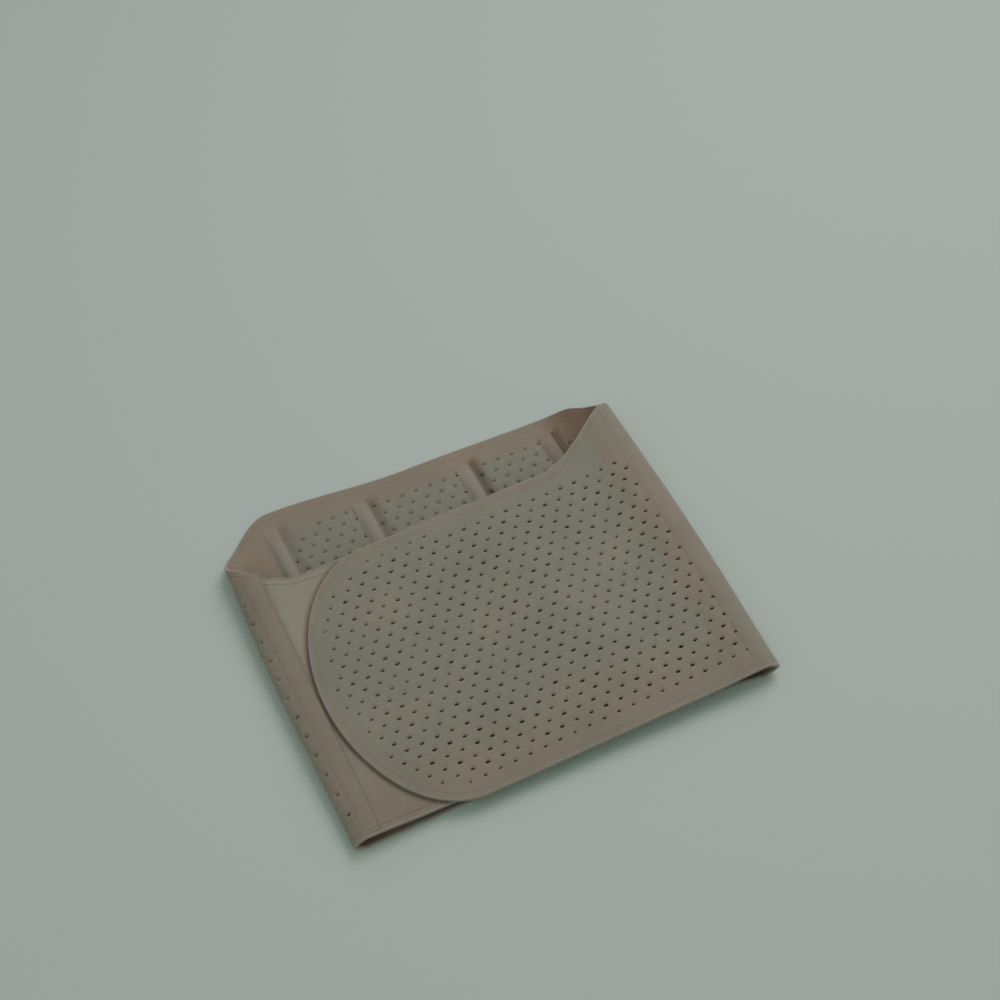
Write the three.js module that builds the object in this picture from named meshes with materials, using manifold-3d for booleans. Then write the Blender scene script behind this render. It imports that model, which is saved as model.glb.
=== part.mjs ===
// An abdominal belt of perforated foam-backed cloth, fastened round into a loop and lying on its back.
// Millimetres. X runs across the belt, +Y towards its top edge, +Z up from the floor.
import * as THREE from 'three';
import { mergeVertices } from 'three/addons/utils/BufferGeometryUtils.js';
import Module from 'manifold-3d';

const wasm = await Module();
wasm.setup();

// Cloth and fits
const clothThick = 2.5;      // perforated foam-backed cloth
const landingThick = 2.0;    // plain loop-faced front panel
const hookThick = 1.2;       // hook tape under the flap
const stayThick = 1.8;       // casing with its stay, inside the back
const seamThick = 1.0;       // casing over each front seam
const gap = 0.3;             // between sewn pieces

// Lengths round the belt, from the middle of the back
const beltRound = 624;       // once round, at the middle of the cloth
const innerStayAt = 40.5;    // from the middle of the stays
const outerStayAt = 107.5;
const turned = 2.5;          // the belt lies turned this far round, which moves its stays to the left
const frontSeamAt = 169;
const landingShort = 47;     // the hidden end of the landing stops this far from the right seam
const flapShort = 7;         // the tip of the flap stops this far from the left seam
const flapRound = 72;        // length of the flap's rounded end
const stayWide = 13;
const leftSeamWide = 10;
const rightSeamWide = 12;
const bindingWide = 3;

// Heights up the belt, from its bottom edge
const backHeight = 266;      // at the middle of the back
const leftRise = 9;          // the back's top edge is this much higher at the left outer stay
const rightRise = -3;        // and this much at the right one
const frontHeight = 203;
const flapDrop = 6;          // the flap hangs this far past the bottom edge
const stayFromTop = 15;
const stayFromBottom = 10;

// Where the top edge comes down from back to front, as lengths from the outer stay and the front seam
const contour = {
  left: { shoulder: backHeight + leftRise, afterStay: 0, afterSeam: 29 },
  right: { shoulder: backHeight + rightRise, afterStay: 9.5, afterSeam: 63 },
};

// How open the loop lies
const spaceInside = 4.8;     // over the stays at the bottom edge
const mouthRise = 8;         // more than that at the front's top edge
const highestShare = 1.2;    // no more than that beyond this share of the front's height
const foldLift = 2.5;        // the folds stand higher than the front between them
const foldLiftRun = 45;
const foldPoint = 5;         // the folds are drawn out this far past a half round, half way up

// Hook tape
const hookLong = 110;
const hookWide = 55;
const hookFromTip = 22;

// Perforation: the cloth has one slot at each point of a staggered lattice, and the model every few of them
const slotLong = 3.4;
const slotWide = 2.0;
const slotPitch = 11.0;      // along a row
const rowPitch = 7.6;        // from row to row
const slotsApart = 4;        // slots of a row from one modelled slot to the next
const rowsApart = 3;
const backMargin = 19;       // plain cloth at the back's top edge
const edgeMargin = 11;       // plain cloth at the other edges
const seamMargin = 10;       // plain cloth at a stay or a seam
const slotSides = 8;

const colours = {
  perforated: 0xb9a48c,
  plain: 0xb7a184,
  casing: 0xc2ad94,
  binding: 0xcdb8a0,
  hook: 0xa89880,
};

// Levels and lengths that follow from the sizes
const layerSpace = Math.max(hookThick + 2 * gap, (clothThick - landingThick) / 2 + seamThick + 2 * gap);
const landingLevel = clothThick + gap + stayThick + spaceInside + landingThick / 2;
const flapOverLanding = landingThick / 2 + layerSpace + clothThick / 2;
const backLevel = clothThick / 2;
const levelAt = { left: 0, right: flapOverLanding };
const stayAt = [-outerStayAt, -innerStayAt, innerStayAt, outerStayAt].map((at) => at - turned);
const frontRun = beltRound - 2 * frontSeamAt;
const landingEnd = frontSeamAt + frontRun - landingShort;
const flapEnd = frontSeamAt + frontRun - flapShort;
const flapTop = frontHeight;
const flapMiddle = (flapTop - flapDrop) / 2;
const flapHalf = (flapTop + flapDrop) / 2;

const clamp = (value) => Math.min(1, Math.max(0, value));
const smooth = (value) => clamp(value) ** 2 * (3 - 2 * clamp(value));
const mix = (from, to, share) => from + (to - from) * share;
const sideOf = (around) => (around < 0 ? 'left' : 'right');

// The loop's middle surface. around is the length from the middle of the back, negative to the left,
// and up is the height from the bottom edge.
function foldRadius(side, up) {
  const share = Math.min(up / frontHeight, highestShare);
  const opening = mouthRise * (share + Math.sin(2 * Math.PI * share) / (2 * Math.PI));
  return (landingLevel + levelAt[side] + opening + foldLift - backLevel) / 2;
}

function foldPointAt(up) {
  return mix(foldPoint / 2, foldPoint, Math.sin(Math.PI * clamp(up / backHeight)));
}

function middle(around, up) {
  const side = sideOf(around);
  const way = side === 'left' ? -1 : 1;
  const radius = foldRadius(side, up);
  const flatRun = beltRound / 4 - Math.PI * (foldRadius('left', up) + foldRadius('right', up)) / 4;
  const length = Math.abs(around);
  if (length <= flatRun) return new THREE.Vector3(around, up, backLevel);
  const turn = (length - flatRun) / radius;
  if (turn <= Math.PI) {
    const out = flatRun + (radius + foldPointAt(up)) * Math.sin(turn);
    return new THREE.Vector3(way * out, up, backLevel + radius * (1 - Math.cos(turn)));
  }
  const past = length - flatRun - Math.PI * radius;
  const fall = smooth(past / foldLiftRun) * smooth((2 * flatRun - past) / foldLiftRun);
  const level = backLevel + 2 * radius - foldLift * fall;
  return new THREE.Vector3(way * (flatRun - past), up, level);
}

const step = 0.05;

function frameAt(around, up) {
  const along = middle(around + step, up).sub(middle(around - step, up)).normalize();
  const rising = middle(around, up + step).sub(middle(around, up - step)).normalize();
  const outward = new THREE.Vector3().crossVectors(rising, along).normalize();
  return { along, outward };
}

// A point of the cloth, offset outwards from its middle surface
function wall(around, up, offset) {
  return middle(around, up).addScaledVector(frameAt(around, up).outward, offset);
}

// The belt's edges
function topEdge(around) {
  const side = contour[sideOf(around)];
  const length = Math.abs(around);
  const back = mix(backHeight, side.shoulder, smooth(length / outerStayAt));
  const from = outerStayAt + side.afterStay;
  const to = frontSeamAt + side.afterSeam;
  return mix(back, frontHeight, smooth((length - from) / (to - from)));
}

function bottomEdge(around) {
  return -flapDrop * smooth((around - outerStayAt) / (frontSeamAt - outerStayAt));
}

// A point on the flap's rounded end, inset from its outline; turn runs from the tip to the top or bottom
function flapEndPoint(turn, inset, way) {
  const around = flapEnd - flapRound + (flapRound - inset) * Math.cos(turn);
  return [around, flapMiddle + way * (flapHalf - inset) * Math.sin(turn)];
}

// Solids
function asSolid(geometry) {
  const bare = geometry.clone();
  bare.deleteAttribute('normal');
  bare.deleteAttribute('uv');
  const merged = mergeVertices(bare);
  return new wasm.Manifold(new wasm.Mesh({
    numProp: 3,
    vertProperties: new Float32Array(merged.attributes.position.array),
    triVerts: new Uint32Array(merged.index.array),
  }));
}

function asGeometry(solid) {
  const mesh = solid.getMesh();
  const geometry = new THREE.BufferGeometry();
  geometry.setAttribute('position', new THREE.BufferAttribute(mesh.vertProperties, mesh.numProp));
  geometry.setIndex(new THREE.BufferAttribute(mesh.triVerts, 1));
  geometry.computeVertexNormals();
  return geometry;
}

// A bent sheet: each station has a low and a high point, as [around, up], and offset is its middle's place
function sheet(stations, thick, offset, rows) {
  const geometry = new THREE.BoxGeometry(1, 1, 1, stations.length - 1, rows, 1);
  const places = geometry.attributes.position;
  for (let i = 0; i < places.count; i++) {
    const station = stations[Math.round((places.getX(i) + 0.5) * (stations.length - 1))];
    const share = places.getY(i) + 0.5;
    const around = mix(station.low[0], station.high[0], share);
    const up = mix(station.low[1], station.high[1], share);
    const point = wall(around, up, offset - places.getZ(i) * thick);
    places.setXYZ(i, point.x, point.y, point.z);
  }
  return geometry;
}

// Places round the belt where every piece has a station, closer together at the folds and the contour
const foldSpacing = 3;
const contourSpacing = 7;
const flatSpacing = 16;

function marksOnSide(way) {
  const side = contour[way < 0 ? 'left' : 'right'];
  const halfSeam = (way < 0 ? leftSeamWide : rightSeamWide) / 2;
  const contourEnd = frontSeamAt + Math.max(side.afterSeam, foldLiftRun);
  const zones = [
    [0, outerStayAt, flatSpacing],
    [outerStayAt, frontSeamAt - halfSeam, foldSpacing],
    [frontSeamAt - halfSeam, frontSeamAt + halfSeam, foldSpacing],
    [frontSeamAt + halfSeam, contourEnd, contourSpacing],
    [contourEnd, flapEnd, flatSpacing],
  ];
  return zones.flatMap(([from, to, spacing]) => {
    const count = Math.ceil((to - from) / spacing);
    return Array.from({ length: count }, (_, i) => way * mix(from, to, i / count));
  });
}

const marks = [...marksOnSide(-1).reverse(), ...marksOnSide(1).slice(1)];

function placesBetween(from, to) {
  return [from, ...marks.filter((mark) => mark > from + 1 && mark < to - 1), to];
}

// Stations between two places round the belt, inset from its bottom and top edges
function stationsBetween(from, to, lowInset, highInset) {
  return placesBetween(from, to).map((around) => (
    { low: [around, bottomEdge(around) + lowInset], high: [around, topEdge(around) - highInset] }
  ));
}

// The slots of one panel, as a lattice counted from its own first corner
function slotsIn(from, to, topMargin, shape) {
  const points = [];
  const rowsUp = Math.floor((backHeight + Math.max(leftRise, rightRise)) / rowPitch);
  for (let row = 0, count = 0; row < rowsUp; row += rowsApart, count++) {
    const start = from + (row % 2) * slotPitch / 2 + (count % 2) * slotsApart / 2 * slotPitch;
    for (let around = start; around <= to; around += slotsApart * slotPitch) {
      const up = edgeMargin + row * rowPitch;
      const high = topEdge(around) - topMargin;
      if (up <= high && (!shape || shape(around, up))) points.push([around, up]);
    }
  }
  return points;
}

function cutSlots(solid, points) {
  const deep = 4 * clothThick;
  const slot = new THREE.CylinderGeometry(slotWide / 2, slotWide / 2, deep, slotSides);
  slot.scale(slotLong / slotWide, 1, 1);
  let cut = solid;
  for (const [around, up] of points) {
    const { along, outward } = frameAt(around, up);
    const across = new THREE.Vector3().crossVectors(along, outward);
    const place = new THREE.Matrix4().makeBasis(along, outward, across);
    place.setPosition(middle(around, up));
    cut = cut.subtract(asSolid(slot.clone().applyMatrix4(place)));
  }
  return cut;
}

const belt = new THREE.Group();

function add(name, geometry, colour, roughness) {
  const material = new THREE.MeshStandardMaterial({ color: colour, roughness, metalness: 0 });
  const mesh = new THREE.Mesh(geometry, material);
  mesh.name = name;
  belt.add(mesh);
}

const edgeInset = bindingWide + gap;
const halfGap = gap / 2;
const panelRows = 6;

// Perforated panels of the back and the sides
function addPanel(name, from, to) {
  const stations = stationsBetween(from + halfGap, to - halfGap, edgeInset, edgeInset);
  const whole = asSolid(sheet(stations, clothThick, 0, panelRows));
  const slots = slotsIn(from + seamMargin, to - seamMargin, backMargin);
  add(name, asGeometry(cutSlots(whole, slots)), colours.perforated, 0.9);
}

addPanel('back_panel_left', stayAt[0], stayAt[1]);
addPanel('back_panel_centre', stayAt[1], stayAt[2]);
addPanel('back_panel_right', stayAt[2], stayAt[3]);
addPanel('side_panel_left', -frontSeamAt, stayAt[0]);
addPanel('side_panel_right', stayAt[3], frontSeamAt);

// Plain panel that the flap closes onto
function addLanding() {
  const stations = stationsBetween(-landingEnd, -frontSeamAt - halfGap, edgeInset, edgeInset);
  add('landing_panel', sheet(stations, landingThick, 0, panelRows), colours.plain, 0.85);
}
addLanding();

// Perforated flap with its rounded end
const endSteps = 14;
const tipTurn = 0.07;        // where the flap's cloth is squared off at the very tip, in radians

function addFlap() {
  const from = frontSeamAt + halfGap;
  const stations = stationsBetween(from, flapEnd - flapRound, edgeInset, edgeInset);
  for (let i = endSteps - 1; i >= 0; i--) {
    const turn = mix(tipTurn, Math.PI / 2, i / endSteps);
    stations.push({ low: flapEndPoint(turn, edgeInset, -1), high: flapEndPoint(turn, edgeInset, 1) });
  }
  const inFlap = (around, up) => {
    const past = Math.max(0, around - (flapEnd - flapRound)) / (flapRound - edgeMargin);
    const aside = (up - flapMiddle) / (flapHalf - edgeMargin);
    return past ** 2 + aside ** 2 <= 1;
  };
  const whole = asSolid(sheet(stations, clothThick, 0, panelRows));
  const slots = slotsIn(from + seamMargin, flapEnd, edgeMargin, inFlap);
  add('closing_flap', asGeometry(cutSlots(whole, slots)), colours.perforated, 0.9);
}
addFlap();

// Hook tape between the flap and the landing
function addHook() {
  const end = flapEnd - hookFromTip;
  const low = flapMiddle - hookLong / 2;
  const stations = placesBetween(end - hookWide, end).map((around) => (
    { low: [around, low], high: [around, low + hookLong] }
  ));
  const offset = -(clothThick + hookThick) / 2 - gap;
  add('hook_patch', sheet(stations, hookThick, offset, panelRows), colours.hook, 0.95);
}
addHook();

// Casings: four inside the back over its stays, and one outside over each front seam
function addCasing(name, at, wide, thick, offset, lowInset, highInset) {
  const stations = stationsBetween(at - wide / 2, at + wide / 2, lowInset, highInset);
  add(name, sheet(stations, thick, offset, panelRows), colours.casing, 0.8);
}

const stayOffset = -(clothThick + stayThick) / 2 - gap;
stayAt.forEach((at, i) => {
  addCasing(`stay_casing_${i + 1}`, at, stayWide, stayThick, stayOffset, stayFromBottom, stayFromTop);
});
const seamOffset = (clothThick + seamThick) / 2 + gap;
addCasing('seam_casing_left', -frontSeamAt, leftSeamWide, seamThick, seamOffset, edgeInset, edgeInset);
addCasing('seam_casing_right', frontSeamAt, rightSeamWide, seamThick, seamOffset, edgeInset, edgeInset);

// Binding round the whole edge, in an upper and a lower length that meet at the flap's tip
function bindingStations(way) {
  const line = way > 0 ? topEdge : bottomEdge;
  const station = (outer, inner) => (way > 0 ? { low: inner, high: outer } : { low: outer, high: inner });
  const stations = placesBetween(-landingEnd, flapEnd - flapRound).map((around) => (
    station([around, line(around)], [around, line(around) - way * bindingWide])
  ));
  const lastTurn = halfGap / flapHalf;
  for (let i = 1; i <= endSteps; i++) {
    const turn = mix(Math.PI / 2, lastTurn, i / endSteps);
    stations.push(station(flapEndPoint(turn, 0, way), flapEndPoint(turn, bindingWide, way)));
  }
  return stations;
}

add('top_binding', sheet(bindingStations(1), clothThick, 0, 1), colours.binding, 0.75);
add('bottom_binding', sheet(bindingStations(-1), clothThick, 0, 1), colours.binding, 0.75);

// The origin is on the floor, under the middle of the belt's box
belt.updateMatrixWorld(true);
const box = new THREE.Box3().setFromObject(belt);
const centre = box.getCenter(new THREE.Vector3());
belt.position.set(-centre.x, -centre.y, 0);

export default belt;
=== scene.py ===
import math
import random
from bisect import bisect_right

import bmesh
import bpy
import numpy as np
from mathutils import Matrix, Vector


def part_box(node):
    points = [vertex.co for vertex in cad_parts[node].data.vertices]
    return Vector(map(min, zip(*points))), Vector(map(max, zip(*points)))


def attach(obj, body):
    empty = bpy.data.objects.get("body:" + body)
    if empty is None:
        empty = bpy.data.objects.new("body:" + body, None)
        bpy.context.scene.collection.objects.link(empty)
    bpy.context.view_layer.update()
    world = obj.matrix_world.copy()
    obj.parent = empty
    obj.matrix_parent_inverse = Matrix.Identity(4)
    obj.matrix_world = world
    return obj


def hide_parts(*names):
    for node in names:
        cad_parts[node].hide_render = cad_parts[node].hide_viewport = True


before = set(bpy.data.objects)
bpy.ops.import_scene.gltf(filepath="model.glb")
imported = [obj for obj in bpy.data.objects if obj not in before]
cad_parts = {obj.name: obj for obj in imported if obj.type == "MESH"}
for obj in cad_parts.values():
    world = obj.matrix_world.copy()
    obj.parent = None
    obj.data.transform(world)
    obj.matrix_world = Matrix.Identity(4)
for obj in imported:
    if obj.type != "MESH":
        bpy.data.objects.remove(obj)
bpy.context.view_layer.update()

MM = 0.001

# Cloth and fits, as in the solids
CLOTH = 2.5 * MM
LANDING = 2.0 * MM
HOOK = 1.2 * MM
STAY = 1.8 * MM
SEAM = 1.0 * MM
GAP = 0.3 * MM

# Lengths round the belt, from the middle of the back
BELT_ROUND = 624 * MM
INNER_STAY_AT = 40.5 * MM
OUTER_STAY_AT = 107.5 * MM
TURNED = 2.5 * MM
FRONT_SEAM_AT = 169 * MM
LANDING_SHORT = 47 * MM
FLAP_SHORT = 7 * MM
FLAP_ROUND = 72 * MM
STAY_WIDE = 13 * MM
LEFT_SEAM_WIDE = 10 * MM
RIGHT_SEAM_WIDE = 12 * MM
BINDING_WIDE = 3 * MM

# Heights up the belt, from its bottom edge
BACK_HEIGHT = 266 * MM
LEFT_RISE = 9 * MM
RIGHT_RISE = -3 * MM
FRONT_HEIGHT = 203 * MM
FLAP_DROP = 6 * MM
STAY_FROM_TOP = 15 * MM
STAY_FROM_BOTTOM = 10 * MM
CONTOUR = {
    "left": {"shoulder": BACK_HEIGHT + LEFT_RISE, "after_stay": 0.0, "after_seam": 29 * MM},
    "right": {"shoulder": BACK_HEIGHT + RIGHT_RISE, "after_stay": 11 * MM, "after_seam": 71 * MM},
}
# Small swells and dips of the top edge: place round the belt, width, rise
SWELLS = (
    (-175 * MM, 6 * MM, -3.5 * MM),
    (160 * MM, 8 * MM, -3.0 * MM),
    (133 * MM, 9 * MM, 2.2 * MM),
)

# How open the loop lies
SPACE_INSIDE = 4.8 * MM
MOUTH_RISE = 8 * MM
HIGHEST_SHARE = 1.2
FOLD_LIFT = 2.5 * MM
FOLD_LIFT_RUN = 45 * MM
FOLD_POINT = 5 * MM
FOLD_PINCH = 0.6
FOLD_PINCH_HIGH = 70 * MM
PINCH_ROUND = 0.01
# The front's soft bumps: across the belt, up it, half width, half height, rise
BUMPS = (
    (45 * MM, 108 * MM, 20 * MM, 42 * MM, 2.8 * MM),
    (78 * MM, 52 * MM, 24 * MM, 22 * MM, 1.8 * MM),
    (100 * MM, 138 * MM, 28 * MM, 26 * MM, -1.8 * MM),
    (-5 * MM, 100 * MM, 22 * MM, 45 * MM, -1.6 * MM),
    (-55 * MM, 18 * MM, 36 * MM, 20 * MM, -1.8 * MM),
    (10 * MM, 170 * MM, 30 * MM, 18 * MM, 1.2 * MM),
    (-60 * MM, 120 * MM, 22 * MM, 30 * MM, 1.2 * MM),
)

# Hook tape
HOOK_LONG = 110 * MM
HOOK_WIDE = 55 * MM
HOOK_FROM_TIP = 22 * MM

# Perforation: staggered slots, each piece of cloth with a lattice of its own
HALF_SLOT = (1.9 * MM, 1.05 * MM)
RIM = 0.45 * MM
RIM_SINK = 0.35 * MM
SLOT_VARIES = (0.78, 1.06)


def slot_lattice(x, y, lean, pitch, row):
    """A lattice through the flat place x, y, which leans in degrees; the lengths are in mm."""
    return {"origin": (x * MM, y * MM), "lean": lean, "pitch": pitch * MM, "row": row * MM}


LATTICES = {
    "back_panel_left": slot_lattice(x=-76.4, y=232.9, lean=-1.5, pitch=10.6, row=8.4),
    "back_panel_centre": slot_lattice(x=-13, y=228, lean=-1.4, pitch=11, row=8.4),
    "back_panel_right": slot_lattice(x=53, y=227, lean=-1.4, pitch=11, row=8.4),
    "side_panel_left": slot_lattice(x=-160, y=101, lean=0.0, pitch=11, row=8.03),
    "side_panel_right": slot_lattice(x=157, y=126.5, lean=0.0, pitch=11, row=8.2),
    "closing_flap": slot_lattice(x=308.9, y=100.2, lean=-1.25, pitch=11, row=7.65),
}

# Levels that follow from the sizes
LAYER_SPACE = max(HOOK + 2 * GAP, (CLOTH - LANDING) / 2 + SEAM + 2 * GAP)
LANDING_LEVEL = CLOTH + GAP + STAY + SPACE_INSIDE + LANDING / 2
FLAP_OVER_LANDING = LANDING / 2 + LAYER_SPACE + CLOTH / 2
BACK_LEVEL = CLOTH / 2
FRONT_RUN = BELT_ROUND - 2 * FRONT_SEAM_AT
LANDING_END = FRONT_SEAM_AT + FRONT_RUN - LANDING_SHORT
FLAP_END = FRONT_SEAM_AT + FRONT_RUN - FLAP_SHORT
FLAP_MIDDLE = (FRONT_HEIGHT - FLAP_DROP) / 2
FLAP_HALF = (FRONT_HEIGHT + FLAP_DROP) / 2
STAYS_AT = [at - TURNED for at in (-OUTER_STAY_AT, -INNER_STAY_AT, INNER_STAY_AT, OUTER_STAY_AT)]

# The belt's own zero in the frame, from where the solids lie
centre_low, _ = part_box("back_panel_centre")
SHIFT = np.array([
    centre_low.x - STAYS_AT[1] - GAP / 2,
    centre_low.y - BINDING_WIDE - GAP,
    0.0,
])


def smooth(value):
    held = np.clip(value, 0, 1)
    return held * held * (3 - 2 * held)


def mix(start, end, share):
    return start + (end - start) * share


# The loop's middle surface, for arrays of lengths round the belt and heights up it
def fold_radius(level, up):
    share = np.minimum(up / FRONT_HEIGHT, HIGHEST_SHARE)
    opening = MOUTH_RISE * (share + np.sin(2 * np.pi * share) / (2 * np.pi))
    return (LANDING_LEVEL + level + opening + FOLD_LIFT - BACK_LEVEL) / 2


def front_bumps(across, up):
    rise = 0.0
    for at, high, half_wide, half_high, most in BUMPS:
        away = ((across - at) / half_wide) ** 2 + ((up - high) / half_high) ** 2
        rise = rise + most * np.exp(-away / 2)
    return rise


def middle(around, up):
    way = np.where(around < 0, -1.0, 1.0)
    radius = fold_radius(np.where(around < 0, 0.0, FLAP_OVER_LANDING), up)
    both = fold_radius(0.0, up) + fold_radius(FLAP_OVER_LANDING, up)
    flat_run = BELT_ROUND / 4 - np.pi * both / 4
    length = np.abs(around)
    turn = np.clip((length - flat_run) / radius, 0, np.pi)
    point_out = mix(FOLD_POINT / 2, FOLD_POINT, np.sin(np.pi * np.clip(up / BACK_HEIGHT, 0, 1)))
    past = length - flat_run - np.pi * radius
    fall = smooth(past / FOLD_LIFT_RUN) * smooth((2 * flat_run - past) / FOLD_LIFT_RUN)
    most, least = math.sqrt(1 + PINCH_ROUND), math.sqrt(PINCH_ROUND)
    creased = (most - np.sqrt(np.cos(turn) ** 2 + PINCH_ROUND)) / (most - least)
    pinch = FOLD_PINCH * (1 - smooth(up / FOLD_PINCH_HIGH))
    bulge = mix(np.sin(turn), creased, pinch)
    out = np.where(past > 0, flat_run - past, np.minimum(length, flat_run) + (radius + point_out) * bulge)
    level = BACK_LEVEL + radius * (1 - np.cos(turn))
    level += np.where(past > 0, (front_bumps(way * out, up) - FOLD_LIFT) * fall, 0.0)
    return np.stack([way * out, up, level], axis=-1)


STEP = 0.05 * MM
# The flap's free edge sinks towards the landing
DROOP = 1.1 * MM
DROOP_RUN = 16 * MM
DROOP_FROM = 245 * MM
DROOP_GROWS = 45 * MM


def wall(around, up, offset):
    """Points of the cloth, offset outwards from its middle surface."""
    along = middle(around + STEP, up) - middle(around - STEP, up)
    rising = middle(around, up + STEP) - middle(around, up - STEP)
    outward = np.cross(rising, along)
    outward /= np.linalg.norm(outward, axis=-1, keepdims=True)
    free = smooth((around - DROOP_FROM) / DROOP_GROWS)
    droop = DROOP * free * (1 - smooth(inside_edge(around, up) / DROOP_RUN))
    return middle(around, up) + outward * np.expand_dims(offset - droop, -1) + SHIFT


# The belt's edges, for single values and arrays
def top_edge(around):
    length = np.abs(around)
    side = {
        name: np.where(around > 0, CONTOUR["right"][name], CONTOUR["left"][name])
        for name in CONTOUR["left"]
    }
    back = mix(BACK_HEIGHT, side["shoulder"], smooth(length / OUTER_STAY_AT))
    start = OUTER_STAY_AT + side["after_stay"]
    end = FRONT_SEAM_AT + side["after_seam"]
    level = mix(back, FRONT_HEIGHT, smooth((length - start) / (end - start)))
    for at, wide, rise in SWELLS:
        level = level + rise * np.exp(-((around - at) / wide) ** 2)
    return level


def bottom_edge(around):
    return -FLAP_DROP * smooth((around - OUTER_STAY_AT) / (FRONT_SEAM_AT - OUTER_STAY_AT))


def flap_end_point(turn, inset):
    """A point on the flap's rounded end: turn runs from the top, through the tip, to the bottom."""
    around = FLAP_END - FLAP_ROUND + (FLAP_ROUND - inset) * math.sin(turn)
    return around, FLAP_MIDDLE + (FLAP_HALF - inset) * math.cos(turn)


LEAST_REACH = 0.001


def inside_edge(around, up):
    """How far a place on the belt is inside its outline; less than zero outside the flap's rounded end."""
    straight = np.minimum(top_edge(around) - up, up - bottom_edge(around))
    past = around - (FLAP_END - FLAP_ROUND)
    x, y = np.maximum(past, 0) / FLAP_ROUND, (up - FLAP_MIDDLE) / FLAP_HALF
    reach = np.sqrt(x * x + y * y) + LEAST_REACH
    steep = np.sqrt((x / FLAP_ROUND) ** 2 + (y / FLAP_HALF) ** 2) / reach
    return np.where(past > 0, (1 - reach) / np.maximum(steep, 1), straight)


# Pieces
SHARP = math.radians(50)


def add_values(mesh, name, values):
    layer = mesh.attributes.new(name=name, type="FLOAT", domain="POINT")
    layer.data.foreach_set("value", np.asarray(values, dtype=np.float32))


def finish_piece(bm, name, materials, tones, slot, *nodes):
    """Bends a flat cloth round the belt, keeps its flat place and its tones, and makes it an object."""
    mesh = bpy.data.meshes.new(name)
    bmesh.ops.triangulate(bm, faces=[face for face in bm.faces if len(face.verts) > 4])
    bm.to_mesh(mesh)
    bm.free()
    flat = np.empty(len(mesh.vertices) * 3)
    mesh.vertices.foreach_get("co", flat)
    flat = flat.reshape(-1, 3)
    bent = wall(flat[:, 0], flat[:, 1], flat[:, 2])
    bent[:, 2] = np.maximum(bent[:, 2], 0.0)
    mesh.vertices.foreach_set("co", bent.astype(np.float32).ravel())
    corner = np.empty(len(mesh.loops), dtype=np.int32)
    mesh.loops.foreach_get("vertex_index", corner)
    places = mesh.uv_layers.new(name="cloth")
    places.data.foreach_set("uv", flat[corner, :2].astype(np.float32).ravel())
    warm, shade = tones(flat[:, 0], flat[:, 1])
    add_values(mesh, "warm", np.clip(warm + 0 * flat[:, 0], 0, 1))
    add_values(mesh, "shade", np.clip(shade + 0 * flat[:, 0], 0, 1))
    add_values(mesh, "inside", inside_edge(flat[:, 0], flat[:, 1]))
    mesh.polygons.foreach_set("use_smooth", np.ones(len(mesh.polygons), dtype=bool))
    mesh.set_sharp_from_angle(angle=SHARP)
    mesh.update()
    piece = bpy.data.objects.new(name, mesh)
    bpy.context.scene.collection.objects.link(piece)
    for material in materials:
        mesh.materials.append(material)
    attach(piece, "root")
    if nodes:
        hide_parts(*nodes)
    return piece


def everything(bm):
    return bm.verts[:] + bm.edges[:] + bm.faces[:]


def parts_of(faces):
    """The faces with their edges and corners, as the cutting operators take them."""
    parts = set(faces)
    for face in faces:
        parts.update(face.verts)
        parts.update(face.edges)
    return list(parts)


def cells(low, high, lattice):
    """A flat cloth of cells, half a pitch by a row, that covers the box, with a cell's middle at origin."""
    bm = bmesh.new()
    (x, y), pitch, row = lattice["origin"], lattice["pitch"], lattice["row"]
    wide = 2 * math.ceil(max(high[0] - x, x - low[0]) / (pitch / 2) + 2) + 1
    tall = 2 * math.ceil(max(high[1] - y, y - low[1]) / row + 2) + 1
    place = (
        Matrix.Translation((x, y, 0))
        @ Matrix.Rotation(math.radians(lattice["lean"]), 4, "Z")
        @ Matrix.Diagonal((wide * pitch / 4, tall * row / 2, 1, 1))
    )
    bmesh.ops.create_grid(bm, x_segments=wide, y_segments=tall, size=1, matrix=place)
    return bm


def pierce(bm, lattice, is_pierced, size_at):
    """Cuts a slot with a soft rim into every other cell where is_pierced says so."""
    lean, pitch, row = math.radians(lattice["lean"]), lattice["pitch"], lattice["row"]
    back = Matrix.Rotation(-lean, 3, "Z")
    turn = Matrix.Rotation(lean, 3, "Z")
    start = Vector((*lattice["origin"], 0))
    chosen = []
    for face in bm.faces:
        centre = face.calc_center_median()
        cell = back @ (centre - start)
        if (round(cell.x / (pitch / 2)) + round(cell.y / row)) % 2 == 0 and is_pierced(centre.x, centre.y):
            chosen.append(face)
    bmesh.ops.inset_individual(bm, faces=chosen, thickness=RIM)
    rings = list({edge for face in chosen for edge in face.edges})
    bmesh.ops.subdivide_edges(bm, edges=rings, cuts=2)
    sizes = random.Random(len(chosen))
    for face in chosen:
        centre = face.calc_center_bounds()
        share = sizes.uniform(*SLOT_VARIES) * size_at(centre.x, centre.y)
        for vert in face.verts:
            place = back @ (vert.co - centre)
            angle = math.atan2(place.y / (row / 2 - RIM), place.x / (pitch / 4 - RIM))
            x = (HALF_SLOT[0] * share + RIM) * math.cos(angle)
            y = (HALF_SLOT[1] * share + RIM) * math.sin(angle)
            vert.co = centre + turn @ Vector((x, y, 0))
    bmesh.ops.inset_individual(bm, faces=chosen, thickness=RIM)
    rim = bm.verts.layers.float.new("rim")
    for face in chosen:
        for vert in face.verts:
            vert[rim] = 1.0
    bmesh.ops.delete(bm, geom=chosen, context="FACES")


NEAR = 0.02 * MM


def cut_across(bm, places):
    """Cuts the cloth at each place round the belt, so that it can bend there and be trimmed between."""
    for around in places:
        bmesh.ops.bisect_plane(
            bm, geom=everything(bm), dist=NEAR, plane_co=(around, 0, 0), plane_no=(1, 0, 0))


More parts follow.
